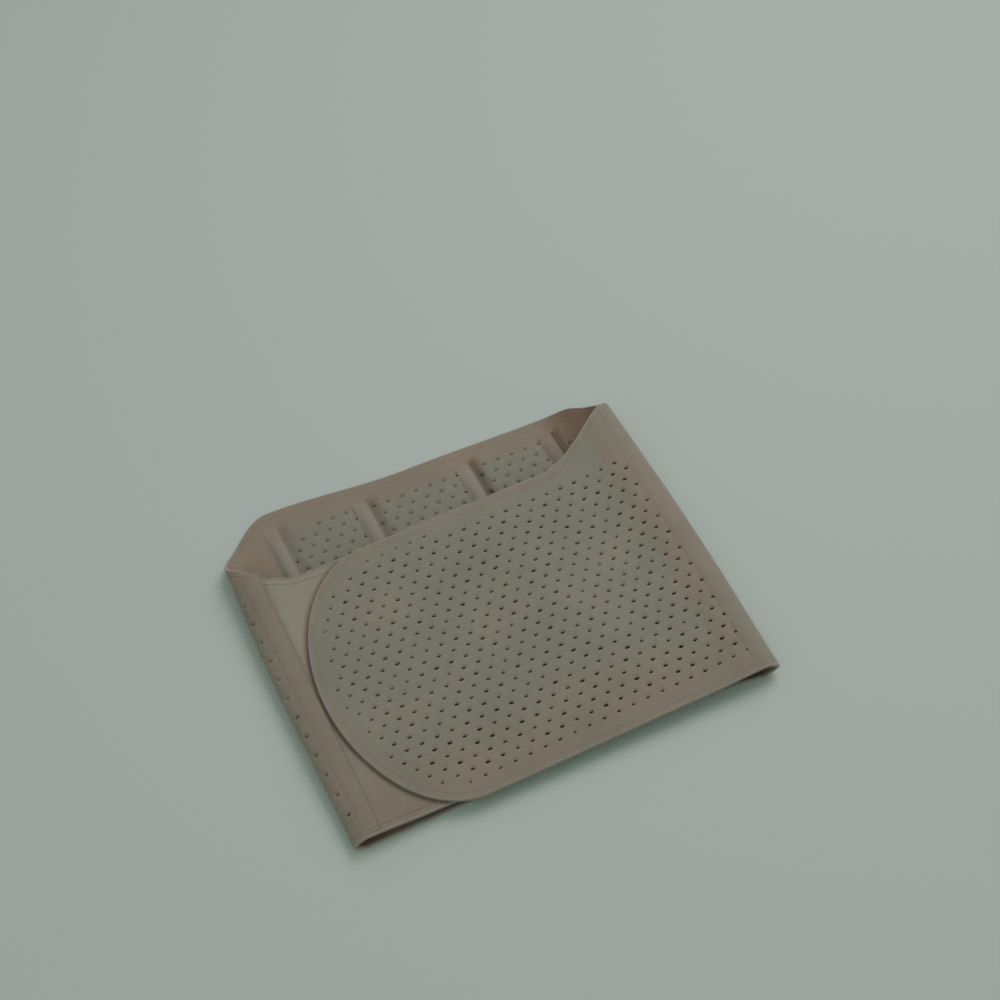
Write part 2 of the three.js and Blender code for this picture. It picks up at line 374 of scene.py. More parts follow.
def trim_ends(bm, start, end):
    bmesh.ops.bisect_plane(
        bm, geom=everything(bm), dist=NEAR, plane_co=(start, 0, 0), plane_no=(1, 0, 0), clear_inner=True)
    bmesh.ops.bisect_plane(
        bm, geom=everything(bm), dist=NEAR, plane_co=(end, 0, 0), plane_no=(1, 0, 0), clear_outer=True)


def strips_of(bm, places):
    """The faces between each place and the next."""
    strips = [[] for _ in places]
    for face in bm.faces:
        index = bisect_right(places, face.calc_center_bounds().x) - 1
        if 0 <= index < len(places) - 1:
            strips[index].append(face)
    return zip(places, places[1:], strips)


def trim_edge(bm, places, line, way):
    """Trims the cloth at an edge line: way is 1 where the cloth lies below the line, and -1 above."""
    for start, end, strip in strips_of(bm, places):
        low, high = float(line(start)), float(line(end))
        across = Vector((low - high, end - start, 0)).normalized()
        bmesh.ops.bisect_plane(
            bm, geom=parts_of(strip), dist=NEAR, plane_co=(start, low, 0), plane_no=across)
    beyond = []
    for start, end, strip in strips_of(bm, places):
        low, high = float(line(start)), float(line(end))
        for face in strip:
            centre = face.calc_center_median()
            if way * (centre.y - mix(low, high, (centre.x - start) / (end - start))) > 0:
                beyond.append(face)
    bmesh.ops.delete(bm, geom=beyond, context="FACES")


def trim_round_end(bm, inset):
    """Trims the flap's rounded end, chord by chord."""
    chords = 60
    points = [flap_end_point(math.pi * i / chords, inset) for i in range(chords + 1)]
    for (x0, y0), (x1, y1) in zip(points, points[1:]):
        outward = Vector((y0 - y1, x1 - x0, 0)).normalized()
        corner = Vector((x0, y0, 0))
        end = [face for face in bm.faces if face.calc_center_bounds().x > FLAP_END - FLAP_ROUND]
        bmesh.ops.bisect_plane(bm, geom=parts_of(end), dist=NEAR, plane_co=corner, plane_no=outward)
        beyond = [
            face for face in bm.faces
            if face.calc_center_bounds().x > FLAP_END - FLAP_ROUND
            and (face.calc_center_median() - corner).dot(outward) > 0
        ]
        bmesh.ops.delete(bm, geom=beyond, context="FACES")


def thicken(bm, thick, offset):
    """Gives a flat cloth its thickness and sinks the slots' rims on both sides."""
    bmesh.ops.remove_doubles(bm, verts=bm.verts, dist=NEAR)
    bmesh.ops.dissolve_degenerate(bm, dist=NEAR / 2, edges=bm.edges)
    bmesh.ops.reverse_faces(bm, faces=[face for face in bm.faces if face.normal.z < 0])
    bm.normal_update()
    bmesh.ops.solidify(bm, geom=bm.faces[:], thickness=thick)
    heights = [vert.co.z for vert in bm.verts]
    centre = (min(heights) + max(heights)) / 2
    rim = bm.verts.layers.float.get("rim")
    for vert in bm.verts:
        height = vert.co.z - centre
        sink = RIM_SINK * math.copysign(vert[rim], height) if rim else 0.0
        vert.co.z = height - sink + offset
    if rim:
        for face in bm.faces:
            if all(vert[rim] > 0.5 for vert in face.verts):
                face.material_index = 1


def places_between(start, end, spacing):
    count = max(1, math.ceil((end - start) / spacing))
    return [mix(start, end, i / count) for i in range(count + 1)]


FOLD_ZONE = (138 * MM, 176 * MM)
FOLD_SPACING = 1.6 * MM
CONTOUR_SPACING = 4 * MM
LEAST_STRIP = 0.4 * MM


def bend_places(start, end):
    """Places round the belt where a cloth is cut, close together at the folds."""
    places = {start, end}
    places.update(places_between(start, end, CONTOUR_SPACING))
    for way in (-1, 1):
        for place in places_between(FOLD_ZONE[0], FOLD_ZONE[1], FOLD_SPACING):
            if start < way * place < end:
                places.add(way * place)
    ordered = sorted(places)
    kept = [ordered[0]]
    for place in ordered[1:-1]:
        if place - kept[-1] > LEAST_STRIP and ordered[-1] - place > LEAST_STRIP:
            kept.append(place)
    return kept + [ordered[-1]]


# Materials
FINE = (0.9 * MM, 0.7 * MM)
# Noises in the cloth, on its flat place in metres, and how much each one counts
FRAY = {"scale": 900.0, "detail": 2.0, "share": 2.2}
FUZZ = {"scale": 3200.0, "detail": 3.0, "share": 0.5}
BLOTCH = {"scale": 22.0, "detail": 3.0, "share": 0.26}
PATCH = {"scale": 130.0, "detail": 3.0, "share": 0.14}
GRAIN = {"scale": 1500.0, "detail": 2.0, "share": 0.16}
LINT = {"scale": 420.0, "detail": 4.0, "share": 0.16}
LINT_FROM = 0.71
MOTTLE_BASE = 0.72
WALE_SHARE = 0.6
COURSE_SHARE = 0.2
COURSE_BEND = 2.0


def new_material(name):
    material = bpy.data.materials.new(name)
    material.use_nodes = True
    return material


def new_group(name, takes, gives):
    group = bpy.data.node_groups.new(name, "ShaderNodeTree")
    for socket, kind, value in takes:
        made = group.interface.new_socket(socket, in_out="INPUT", socket_type=kind)
        if value is not None:
            made.default_value = value
    for socket, kind in gives:
        group.interface.new_socket(socket, in_out="OUTPUT", socket_type=kind)
    return group, group.nodes.new("NodeGroupInput"), group.nodes.new("NodeGroupOutput")


def feed(tree, socket, value):
    """Links another socket's value to a socket, or sets a number or colour on it."""
    if isinstance(value, bpy.types.NodeSocket):
        tree.links.new(value, socket)
    elif value is not None:
        socket.default_value = value


def maths(tree, kind, first, second=None):
    """A maths node; its values are sockets or numbers."""
    node = tree.nodes.new("ShaderNodeMath")
    node.operation = kind
    for socket, value in zip(node.inputs, (first, second)):
        feed(tree, socket, value)
    return node.outputs["Value"]


def noise(tree, place, look):
    node = tree.nodes.new("ShaderNodeTexNoise")
    node.inputs["Scale"].default_value = look["scale"]
    node.inputs["Detail"].default_value = look["detail"]
    tree.links.new(place, node.inputs["Vector"])
    return node.outputs["Fac"]


def make_knit_group():
    """Loops of a fine knit, from the cloth's own flat place in metres."""
    group, takes, gives = new_group(
        "knit_relief",
        [("Place", "NodeSocketVector", None), ("Loop Wide", "NodeSocketFloat", FINE[0]),
         ("Loop High", "NodeSocketFloat", FINE[1])],
        [("Height", "NodeSocketFloat"), ("Gap", "NodeSocketFloat")])
    place = takes.outputs["Place"]
    parts = group.nodes.new("ShaderNodeSeparateXYZ")
    group.links.new(place, parts.inputs["Vector"])
    fray = maths(group, "MULTIPLY", noise(group, place, FRAY), FRAY["share"])
    across = maths(group, "MULTIPLY", parts.outputs["X"], math.tau)
    across = maths(group, "DIVIDE", across, takes.outputs["Loop Wide"])
    rising = maths(group, "MULTIPLY", parts.outputs["Y"], math.tau)
    rising = maths(group, "DIVIDE", rising, takes.outputs["Loop High"])
    wale = maths(group, "ADD", maths(group, "DIVIDE", across, 2.0), fray)
    wale = maths(group, "ABSOLUTE", maths(group, "SINE", wale))
    bent = maths(group, "MULTIPLY", wale, COURSE_BEND)
    course = maths(group, "SINE", maths(group, "ADD", rising, bent))
    ribs = maths(group, "MULTIPLY", wale, WALE_SHARE)
    loop = maths(group, "ADD", ribs, maths(group, "MULTIPLY", course, COURSE_SHARE))
    fuzz = maths(group, "MULTIPLY", noise(group, place, FUZZ), FUZZ["share"])
    group.links.new(maths(group, "ADD", loop, fuzz), gives.inputs["Height"])
    group.links.new(maths(group, "SUBTRACT", 1.0, wale), gives.inputs["Gap"])
    return group


def make_mottle_group():
    """Uneven dye and handling: a value near one for the cloth's colour, lint, and blotches."""
    group, takes, gives = new_group(
        "cloth_mottle",
        [("Place", "NodeSocketVector", None)],
        [("Value", "NodeSocketFloat"), ("Lint", "NodeSocketFloat"), ("Blotch", "NodeSocketFloat")])
    place = takes.outputs["Place"]
    blotch = noise(group, place, BLOTCH)
    total = maths(group, "MULTIPLY", blotch, BLOTCH["share"])
    for look in (PATCH, GRAIN):
        part = maths(group, "MULTIPLY", noise(group, place, look), look["share"])
        total = maths(group, "ADD", total, part)
    group.links.new(maths(group, "ADD", total, MOTTLE_BASE), gives.inputs["Value"])
    lint = maths(group, "GREATER_THAN", noise(group, place, LINT), LINT_FROM)
    group.links.new(lint, gives.inputs["Lint"])
    group.links.new(blotch, gives.inputs["Blotch"])
    return group


KNIT = make_knit_group()
MOTTLE = make_mottle_group()
SHADE_COLOUR = (0.40, 0.25, 0.19, 1)
# Colour of the painted shade in the knit's gaps between its ribs
GAP_SHADE_COLOUR = (0.5, 0.42, 0.36, 1)
LINT_COLOUR = (0.6, 0.57, 0.52, 1)
# How strongly the painted shade darkens the knit's gaps
GAP_SHADE_SHARE = 0.22
# Where blotches turn the dye towards its warm colour, how fast, and how far
DRIFT_FROM = 0.45
DRIFT_GROWS = 1.2
DRIFT_MOST = 0.45
CLOTH_ROUGHNESS = 0.92
CLOTH_SPECULAR = 0.2
SHEEN_ROUGHNESS = 0.6
# The sewn groove beside the edge
GROOVE_AT = 5.5 * MM
GROOVE_WIDE = 0.9 * MM
GROOVE_DEEP = 0.22
# Places of a Mix node's sockets when it mixes colours
MIX_TAKES = (0, 6, 7)
MIX_GIVES = 2


def read_value(tree, name):
    node = tree.nodes.new("ShaderNodeAttribute")
    node.attribute_name = name
    return node.outputs["Fac"]


def blend(tree, kind, factor, first, second):
    node = tree.nodes.new("ShaderNodeMix")
    node.data_type = "RGBA"
    node.blend_type = kind
    for place, value in zip(MIX_TAKES, (factor, first, second)):
        feed(tree, node.inputs[place], value)
    return node.outputs[MIX_GIVES]


def cloth_material(name, plain, warm, loop, relief, sheen):
    """A knitted or woven cloth: plain and warm are its two dye colours, loop its loop size."""
    material = new_material(name)
    tree = material.node_tree
    nodes, links = tree.nodes, tree.links
    shader = nodes["Principled BSDF"]
    shader.inputs["Roughness"].default_value = CLOTH_ROUGHNESS
    shader.inputs["Specular IOR Level"].default_value = CLOTH_SPECULAR
    shader.inputs["Sheen Weight"].default_value = sheen
    shader.inputs["Sheen Roughness"].default_value = SHEEN_ROUGHNESS
    place = nodes.new("ShaderNodeUVMap")
    place.uv_map = "cloth"
    knit = nodes.new("ShaderNodeGroup")
    knit.node_tree = KNIT
    knit.inputs["Loop Wide"].default_value = loop[0]
    knit.inputs["Loop High"].default_value = loop[1]
    mottle = nodes.new("ShaderNodeGroup")
    mottle.node_tree = MOTTLE
    links.new(place.outputs["UV"], knit.inputs["Place"])
    links.new(place.outputs["UV"], mottle.inputs["Place"])
    dyed = blend(tree, "MIX", read_value(tree, "warm"), (*plain, 1), (*warm, 1))
    drift = maths(tree, "SUBTRACT", mottle.outputs["Blotch"], DRIFT_FROM)
    drift = maths(tree, "MAXIMUM", maths(tree, "MULTIPLY", drift, DRIFT_GROWS), 0.0)
    dyed = blend(tree, "MIX", maths(tree, "MINIMUM", drift, DRIFT_MOST), dyed, (*warm, 1))
    dyed = blend(tree, "MULTIPLY", read_value(tree, "shade"), dyed, SHADE_COLOUR)
    even = blend(tree, "MULTIPLY", 1.0, dyed, mottle.outputs["Value"])
    # Painted shade: the knit's gaps between its ribs are darkened towards a brown
    gap_shade = maths(tree, "MULTIPLY", knit.outputs["Gap"], GAP_SHADE_SHARE)
    gap_shaded = blend(tree, "MULTIPLY", gap_shade, even, GAP_SHADE_COLOUR)
    lint = maths(tree, "MULTIPLY", mottle.outputs["Lint"], LINT["share"])
    links.new(blend(tree, "MIX", lint, gap_shaded, LINT_COLOUR), shader.inputs["Base Color"])
    away = maths(tree, "SUBTRACT", read_value(tree, "inside"), GROOVE_AT)
    away = maths(tree, "DIVIDE", maths(tree, "ABSOLUTE", away), GROOVE_WIDE)
    groove = maths(tree, "MAXIMUM", maths(tree, "SUBTRACT", 1.0, away), 0.0)
    raised = maths(tree, "MULTIPLY", knit.outputs["Height"], relief)
    height = maths(tree, "SUBTRACT", raised, maths(tree, "MULTIPLY", groove, GROOVE_DEEP))
    bump = nodes.new("ShaderNodeBump")
    bump.inputs["Strength"].default_value = 1.0
    bump.inputs["Distance"].default_value = MM
    links.new(height, bump.inputs["Height"])
    links.new(bump.outputs["Normal"], shader.inputs["Normal"])
    return material


NEUTRAL = (0.231, 0.226, 0.179)
WARM = (0.273, 0.211, 0.155)
perforated_cloth = cloth_material("perforated_cloth", NEUTRAL, WARM, FINE, relief=0.11, sheen=0.25)
foam_core = cloth_material(
    "foam_core", (0.60, 0.53, 0.40), (0.60, 0.50, 0.37), FINE, relief=0.05, sheen=0.0)
plain_cloth = cloth_material(
    "plain_cloth", (0.300, 0.282, 0.207), (0.324, 0.262, 0.202), (0.6 * MM, 0.6 * MM),
    relief=0.14, sheen=0.35)
casing_tape = cloth_material(
    "casing_tape", (0.273, 0.261, 0.218), (0.285, 0.228, 0.179), (1.4 * MM, 0.5 * MM),
    relief=0.13, sheen=0.2)
seam_tape = cloth_material("seam_tape", NEUTRAL, WARM, (0.8 * MM, 0.8 * MM), relief=0.11, sheen=0.25)
binding_tape = cloth_material(
    "binding_tape", (0.273, 0.261, 0.215), (0.299, 0.245, 0.194), (0.7 * MM, 1.1 * MM),
    relief=0.13, sheen=0.3)
hook_tape = cloth_material(
    "hook_tape", (0.199, 0.180, 0.136), (0.218, 0.180, 0.136), (1.6 * MM, 1.6 * MM),
    relief=0.35, sheen=0.0)
thread = cloth_material(
    "thread", (0.264, 0.247, 0.204), (0.281, 0.228, 0.175), (0.25 * MM, 0.4 * MM),
    relief=0.05, sheen=0.1)

# Tones of the cloth, both warm dye tints and painted shade: how strong each one is at most, from which
# place, and over what run
TONES = {
    "top_hem": {"most": 0.85, "at": -26 * MM, "run": 12 * MM},
    "plain_side": {"most": 0.9, "at": 112 * MM, "run": 8 * MM},
    "past_fold": {"most": 0.45, "at": 143 * MM, "run": 10 * MM},
    "shade_beside_stay": {"most": 0.85, "at": 8.8 * MM, "run": 3.6 * MM},
    "under_hem": {"most": 1.0, "at": 9 * MM, "run": 9 * MM},
    "right_corner_shade": {"most": 0.62, "at": 96 * MM, "run": 34 * MM},
    "right_fold": {"most": 1.0, "at": 146 * MM, "run": 8 * MM},
    "left_pocket_shade": {"most": 0.3, "at": -140 * MM, "run": 12 * MM},
    "pocket_top": {"most": 1.0, "at": 205 * MM, "run": 30 * MM},
    "flap_margin": {"most": 0.42, "at": 4 * MM, "run": 9 * MM},
    "flap_sewn_side": {"most": 0.55, "at": 182 * MM, "run": 20 * MM},
    "flap_foot": {"most": 0.5, "at": 5 * MM, "run": 60 * MM},
    "flap_seam": {"most": 0.10, "at": 187 * MM, "run": 6 * MM},
    "flap_edge_shadow": {"most": 0.62, "at": 1.6 * MM, "run": 1.7 * MM},
    "edge_shadow_height": {"most": 1.0, "at": 25 * MM, "run": 60 * MM},
    "landing_seam_shade": {"most": 0.22, "at": -FRONT_SEAM_AT - 6.5 * MM, "run": 1.8 * MM},
    "landing_middle": {"most": 0.6, "at": 95 * MM, "run": 45 * MM},
    "landing_foot": {"most": 0.5, "at": 0.0, "run": 22 * MM},
    "landing_hem": {"most": 0.5, "at": 2 * MM, "run": 6 * MM},
    "landing_low_shade": {"most": 0.3, "at": 0.0, "run": 130 * MM},
    "stay_side_shade": {"most": 0.7, "at": 3.2 * MM, "run": 2.5 * MM},
    "right_stays_warm": {"most": 0.5, "at": 60 * MM, "run": 60 * MM},
    "right_stays_shade": {"most": 0.25, "at": 60 * MM, "run": 50 * MM},
    "stay_tops": {"most": 1.0, "at": 16 * MM - BACK_HEIGHT, "run": 14 * MM},
    "right_seam": {"most": 0.3, "at": 120 * MM, "run": 70 * MM},
    "edge_top": {"most": 0.7, "at": 225 * MM, "run": 20 * MM},
    "edge_corner_shade": {"most": 0.35, "at": 105 * MM, "run": 25 * MM},
    "edge_fold": {"most": 1.0, "at": 148 * MM, "run": 6 * MM},
}
# Strength of the painted shade beside each stay, from left to right
STAY_SHADES = (0.35, 0.55, 0.95, 0.95)
# Even warmth of the small pieces
STAY_WARMTH = 0.25
LEFT_SEAM_WARMTH = 0.55
RIGHT_SEAM_WARMTH = 0.3
SEAM_SHADE = 0.04
HOOK_WARMTH = 0.3
EDGE_WARMTH = 0.35


def sets_in(value, name):
    """A tone that is nought before its place and full past its run."""
    tone = TONES[name]
    return tone["most"] * smooth((value - tone["at"]) / tone["run"])


def fades(value, name):
    """A tone that is full before its place and nought past its run."""
    return TONES[name]["most"] - sets_in(value, name)


def spot(value, name):
    """A tone that is strongest at its place."""
    tone = TONES[name]
    return tone["most"] * np.exp(-((value - tone["at"]) / tone["run"]) ** 2)


# Perforated cloth
TUCK = 1.0 * MM
SLOT_FROM_STAY = 6.6 * MM
SLOT_FROM_SEAM = 7.5 * MM
SLOT_FROM_BOTTOM = 11 * MM
SLOT_FROM_TOP = 19 * MM
SIDE_SLOT = 0.8
# How high the slots reach: on the side panels, and on the left back panel, which slopes past a place
LEFT_SIDE_SLOTS = 204 * MM
RIGHT_SIDE_SLOTS = (240 * MM, 212 * MM)
RIGHT_SIDE_SLOPE = (120 * MM, 25 * MM)
LEFT_BACK_SLOTS = 252 * MM
LEFT_BACK_SLOPE = (78 * MM, 0.65)


def body_tones(around, up):
    """Warmer along the top hem and at the plain sides; painted shade beside the stays, in the right corner
    towards the fold and low in the left corner.
    """
    depth = top_edge(around) - up
    length = np.abs(around)
    sides = sets_in(length, "plain_side") * (1 - sets_in(length, "past_fold"))
    shade = 0.0
    # Painted shade: a dark band on the cloth just right of each stay, below the hem
    for at, most in zip(STAYS_AT, STAY_SHADES):
        shade = shade + most * spot(around - at, "shade_beside_stay") * sets_in(depth, "under_hem")
    # Painted shade in the right inner corner, fading out at the fold
    corner = sets_in(around, "right_corner_shade") * fades(around, "right_fold")
    # Painted shade low in the left inner corner
    pocket_shade = spot(around, "left_pocket_shade") * fades(up, "pocket_top")
    return np.maximum(sets_in(-depth, "top_hem"), sides), np.maximum(shade, np.maximum(corner, pocket_shade))


def is_slot_in_body(name, start, end, around, up):
    low_side = SLOT_FROM_SEAM if start == -FRONT_SEAM_AT else SLOT_FROM_STAY
    high_side = SLOT_FROM_SEAM if end == FRONT_SEAM_AT else SLOT_FROM_STAY
    if not start + low_side < around < end - high_side or up < SLOT_FROM_BOTTOM:
        return False
    if name == "side_panel_left":
        return up < LEFT_SIDE_SLOTS
    if name == "side_panel_right":
        place, run = RIGHT_SIDE_SLOPE
        return up < mix(*RIGHT_SIDE_SLOTS, float(smooth((around - place) / run)))
    if name == "back_panel_left":
        place, steep = LEFT_BACK_SLOPE
        return up < LEFT_BACK_SLOTS - steep * max(0.0, -around - place)
    return up < top_edge(around) - SLOT_FROM_TOP


def make_panel(name, start, end):
    top = max(float(top_edge(start)), float(top_edge(end)), BACK_HEIGHT)
    lattice = LATTICES[name]
    size = SIDE_SLOT if "side" in name else 1.0

    def is_pierced(around, up):
        return is_slot_in_body(name, start, end, around, up)

    def size_at(around, up):
        return size

    bm = cells((start, -FLAP_DROP), (end, top), lattice)
    pierce(bm, lattice, is_pierced, size_at)
    trim_ends(bm, start + NEAR, end - NEAR)
    places = bend_places(start + NEAR, end - NEAR)
    cut_across(bm, places[1:-1])
    trim_edge(bm, places, lambda around: top_edge(around) - TUCK, 1)
    trim_edge(bm, places, lambda around: bottom_edge(around) + TUCK, -1)
    thicken(bm, CLOTH, 0.0)
    cloths = [perforated_cloth, foam_core]
    piece = finish_piece(bm, f"{name}_cloth", cloths, body_tones, "perforated_cloth", name)


make_panel("back_panel_left", STAYS_AT[0], STAYS_AT[1])
make_panel("back_panel_centre", STAYS_AT[1], STAYS_AT[2])
make_panel("back_panel_right", STAYS_AT[2], STAYS_AT[3])
make_panel("side_panel_left", -FRONT_SEAM_AT, STAYS_AT[0])
make_panel("side_panel_right", STAYS_AT[3], FRONT_SEAM_AT)

FIELD_INSET = 11.5 * MM
FIELD_FROM_TOP = 10 * MM
FIELD_RIGHT = (164 * MM, 180 * MM)
EDGE_SLOT = 0.72
EDGE_SLOT_WITHIN = 11 * MM
EDGE_SLOT_RUN = 9 * MM


def flap_tones(around, up):
    """Pinkish along the rounded margin, at the sewn side and low down; cooler in the middle."""
    sewn_or_low = np.maximum(fades(around, "flap_sewn_side"), fades(up, "flap_foot"))
    margin = fades(inside_edge(around, up), "flap_margin")
    return np.maximum(margin, sewn_or_low), spot(around, "flap_seam")


def make_flap():
    start = FRONT_SEAM_AT + NEAR

    def is_pierced(around, up):
        past = max(0.0, around - (FLAP_END - FLAP_ROUND)) / (FLAP_ROUND - FIELD_INSET)
        aside = (up - FLAP_MIDDLE) / (FLAP_HALF - FIELD_INSET)
        right_line = mix(*FIELD_RIGHT, up / FRONT_HEIGHT)
        in_rows = up < top_edge(around) - FIELD_FROM_TOP
        return past * past + aside * aside <= 1 and around > right_line and in_rows

    def size_at(around, up):
        inside = inside_edge(around, up) - EDGE_SLOT_WITHIN
        return mix(EDGE_SLOT, 1.0, float(smooth(inside / EDGE_SLOT_RUN)))

    lattice = LATTICES["closing_flap"]
    bm = cells((start, -FLAP_DROP), (FLAP_END, float(top_edge(start))), lattice)
    pierce(bm, lattice, is_pierced, size_at)
    straight_end = FLAP_END - FLAP_ROUND
    trim_ends(bm, start, FLAP_END)
    places = bend_places(start, straight_end)
    cut_across(bm, places[1:] + places_between(straight_end, FLAP_END, CONTOUR_SPACING)[1:-1])
    trim_edge(bm, places, lambda around: top_edge(around) - TUCK, 1)
    trim_edge(bm, places, lambda around: bottom_edge(around) + TUCK, -1)
    trim_round_end(bm, TUCK)
    thicken(bm, CLOTH, 0.0)
    cloths = [perforated_cloth, foam_core]
    piece = finish_piece(bm, "closing_flap_cloth", cloths, flap_tones, "perforated_cloth", "closing_flap")


make_flap()


# Plain cloth
def plain_sheet(bounds_at, places, rows):
    """A flat cloth of even cells between a low and a high line."""
    bm = bmesh.new()
    bmesh.ops.create_grid(bm, x_segments=len(places) - 1, y_segments=rows, size=0.5)
    for vert in bm.verts:
        around = places[round((vert.co.x + 0.5) * (len(places) - 1))]
        low, high = bounds_at(around)
        vert.co = Vector((around, mix(float(low), float(high), vert.co.y + 0.5), 0))
    return bm


LANDING_CELL = 1.2 * MM
LANDING_ROWS = 140


def landing_tones(around, up):
    """Pinkish in the middle; painted shadow beside the flap's rounded end, a painted dark line beside the
    seam tape and painted shade low down.
    """
    outside = -inside_edge(BELT_ROUND + around, up)
    # Painted shadow of the flap's rounded end on the landing, fading out low down
    flap_shadow = spot(outside, "flap_edge_shadow") * sets_in(up, "edge_shadow_height")
    pink = spot(up, "landing_middle") + spot(up, "landing_foot")
    hem = fades(top_edge(around) - up, "landing_hem")
    # Painted shade: darker low down, where less light falls, and a dark line just beside the seam tape's
    # edge
    low_and_seam_shade = np.maximum(spot(around, "landing_seam_shade"), fades(up, "landing_low_shade"))
    return np.maximum(pink, hem), np.maximum(flap_shadow, low_and_seam_shade)


def make_landing():
    start, end = -LANDING_END, -FRONT_SEAM_AT - NEAR
    places = places_between(start, end, LANDING_CELL)
    bm = plain_sheet(lambda around: (TUCK, top_edge(around) - TUCK), places, LANDING_ROWS)
    thicken(bm, LANDING, 0.0)
    piece = finish_piece(
        bm, "landing_panel_cloth", [plain_cloth], landing_tones, "plain_cloth", "landing_panel")


make_landing()


HOOK_CELL = 5 * MM
HOOK_ROWS = 20


def hook_tones(around, up):
    return HOOK_WARMTH, 0.0


def make_hook():
    end = FLAP_END - HOOK_FROM_TIP
    low = FLAP_MIDDLE - HOOK_LONG / 2
    places = places_between(end - HOOK_WIDE, end, HOOK_CELL)
    bm = plain_sheet(lambda around: (low, low + HOOK_LONG), places, HOOK_ROWS)
    thicken(bm, HOOK, -(CLOTH + HOOK) / 2 - GAP)
    piece = finish_piece(bm, "hook_patch_tape", [hook_tape], hook_tones, "hook_tape", "hook_patch")


make_hook()

# Casings: a rounded channel between two thin sewn margins
CASING_LIFT = 0.04 * MM
MARGIN_THICK = 0.08
CROWN_SHAPE = 0.8
CROWN_AT_END = 0.12
CASING_CELLS = 22
CASING_ROWS = 90


def stay_tones(around, up):
    # Painted shade: each stay casing darker on its right side, and the casings darker towards the right
    # corner
    shade = 0.0
    for at, most in zip(STAYS_AT, STAY_SHADES):
        shade = shade + most * sets_in(around - at, "stay_side_shade") * (around < at + STAY_WIDE)
    warm = np.maximum(STAY_WARMTH + sets_in(around, "right_stays_warm"), fades(-up, "stay_tops"))
    return warm, shade + sets_in(around, "right_stays_shade")


def seam_tones(around, up):
    return np.where(around < 0, LEFT_SEAM_WARMTH, RIGHT_SEAM_WARMTH + spot(up, "right_seam")), SEAM_SHADE


# way: 1 on the cloth's outside, -1 inside; ends: margins at the bottom and the top;
# channel: the share of its width that is raised; end_run: the length over which it rises
STAY_LOOK = {
    "way": -1, "thick": 2.4 * MM, "ends": (STAY_FROM_BOTTOM, STAY_FROM_TOP), "channel": 0.82,
    "end_run": 24 * MM, "material": casing_tape, "tones": stay_tones,
}
SEAM_LOOK = {
    "way": 1, "thick": 0.7 * MM, "ends": (2.4 * MM, 2.4 * MM), "channel": 1.0,
    "end_run": 8 * MM, "material": seam_tape, "tones": seam_tones,
}
RIGHT_SEAM_LOOK = {**SEAM_LOOK, "thick": 0.45 * MM}


def make_casing(node, at, wide, look):
    """A casing with a crown along its middle, which fades at its two ends."""
    way, thick = look["way"], look["thick"]
    low = float(bottom_edge(at)) + look["ends"][0]
    high = float(top_edge(at)) - look["ends"][1]
    places = places_between(at - wide / 2, at + wide / 2, wide / CASING_CELLS)
    bm = plain_sheet(lambda around: (low, high), places, CASING_ROWS)
    offset = way * ((CLOTH + thick) / 2 + CASING_LIFT)
    thicken(bm, thick, offset)
    for vert in bm.verts:
        across = min(1.0, abs(vert.co.x - at) / (wide / 2) / look["channel"])
        from_end = min(vert.co.y - low, high - vert.co.y)
        fading = float(smooth(CROWN_AT_END + from_end / look["end_run"]))
        crown = (1 - across * across) ** CROWN_SHAPE * fading
        if (vert.co.z - offset) * way > 0:
            vert.co.z = offset + way * thick * (mix(MARGIN_THICK, 1.0, crown) - 0.5)
    piece = finish_piece(bm, f"{node}_tape", [look["material"]], look["tones"], "casing_tape", node)


for number, at in enumerate(STAYS_AT, start=1):
    make_casing(f"stay_casing_{number}", at, STAY_WIDE, STAY_LOOK)
make_casing("seam_casing_left", -FRONT_SEAM_AT, LEFT_SEAM_WIDE, SEAM_LOOK)
make_casing("seam_casing_right", FRONT_SEAM_AT, RIGHT_SEAM_WIDE, RIGHT_SEAM_LOOK)

# The rolled edge round the whole belt
EDGE_WIDE = 2.1 * MM
EDGE_PROUD = 0.12 * MM
EDGE_SIDES = 12
EDGE_TURNS = 80


def edge_line(inset):
    """Points inside the belt's outline, along its bottom, round the flap's end and back along its top."""
    run = bend_places(-LANDING_END, FLAP_END - FLAP_ROUND)
    lower = [(around, float(bottom_edge(around)) + inset) for around in run]
    upper = [(around, float(top_edge(around)) - inset) for around in run]
    end = [flap_end_point(math.pi * (1 - i / EDGE_TURNS), inset) for i in range(1, EDGE_TURNS)]
    return lower + end + upper[::-1]


def edge_tones(around, up):
    # Painted shade on the binding, and on the stitches that take these tones, in the right corner above the
    # front
    corner = sets_in(around, "edge_corner_shade") * fades(around, "edge_fold") * (up > FRONT_HEIGHT)
    return np.maximum(sets_in(up, "edge_top"), EDGE_WARMTH), corner


